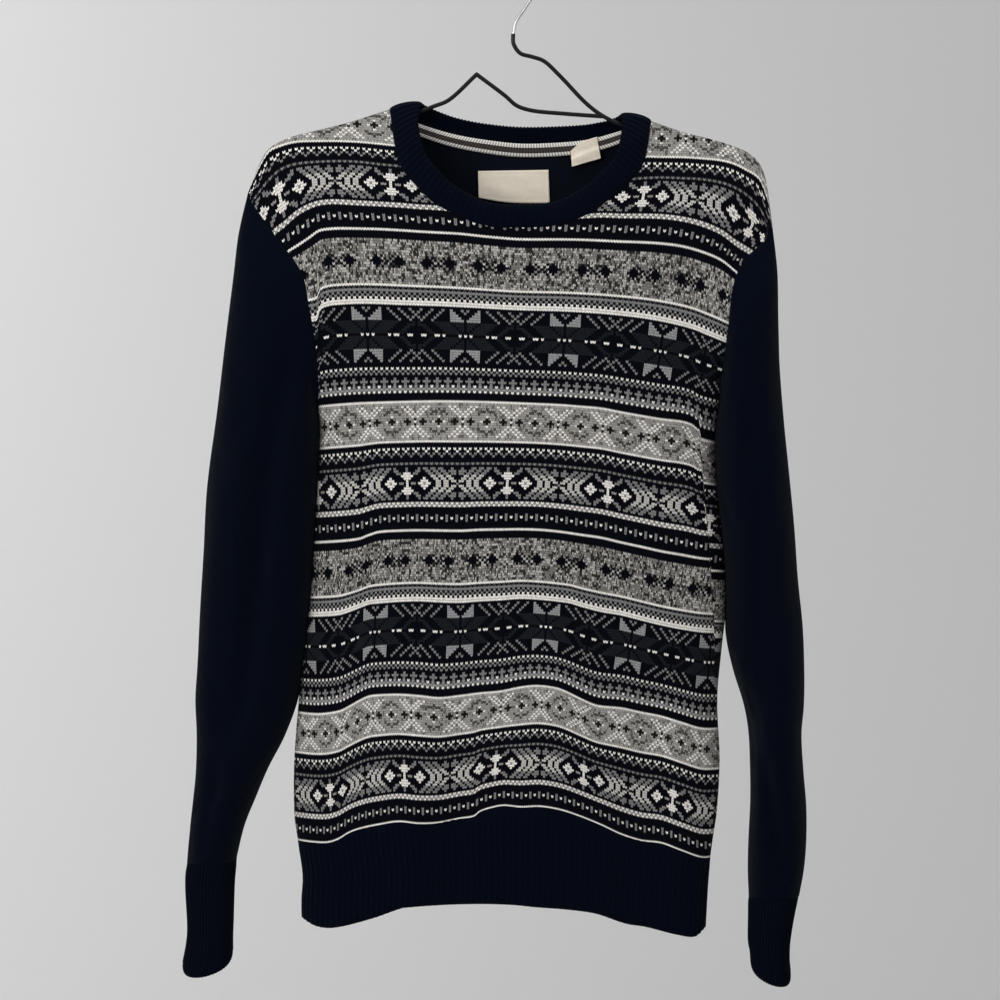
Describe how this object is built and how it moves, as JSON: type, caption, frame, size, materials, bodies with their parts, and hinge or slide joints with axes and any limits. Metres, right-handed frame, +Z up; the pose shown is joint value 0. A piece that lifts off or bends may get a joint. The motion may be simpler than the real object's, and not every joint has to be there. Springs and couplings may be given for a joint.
{
  "type": "patterned jumper on a wire hanger",
  "caption": "Crew-neck fair isle jumper with plain ribbed sleeves, cuffs, hem and neckband, hanging on a coated wire hanger.",
  "frame": {"origin": "under the crown of the hanger's hook, where a rail bears", "axes": "+Z up along the hanging jumper, -Y out of its front, +X to the viewer's right"},
  "size_m": [0.5301, 0.103, 0.8835],
  "materials": {
    "fair_isle_wool": "knit of black, cream and greys, matt",
    "navy_wool": "plain knit, matt",
    "navy_rib": "ribbed knit, matt",
    "striped_tape": "woven, matt",
    "woven_label": "woven, a soft sheen, bare",
    "coated_wire": "glossy black coat",
    "bare_wire": "bright drawn steel"
  },
  "bodies": {
    "root": {"front": "fair_isle_wool", "back": "fair_isle_wool", "sleeve_left": "navy_wool", "sleeve_right": "navy_wool", "hem": "navy_rib", "cuff_left": "navy_rib", "cuff_right": "navy_rib", "neckband": "navy_rib", "neck_tape": "striped_tape", "label": "woven_label", "size_tag": "woven_label", "hanger": "coated_wire", "hook": "bare_wire"}
  },
  "joints": []
}
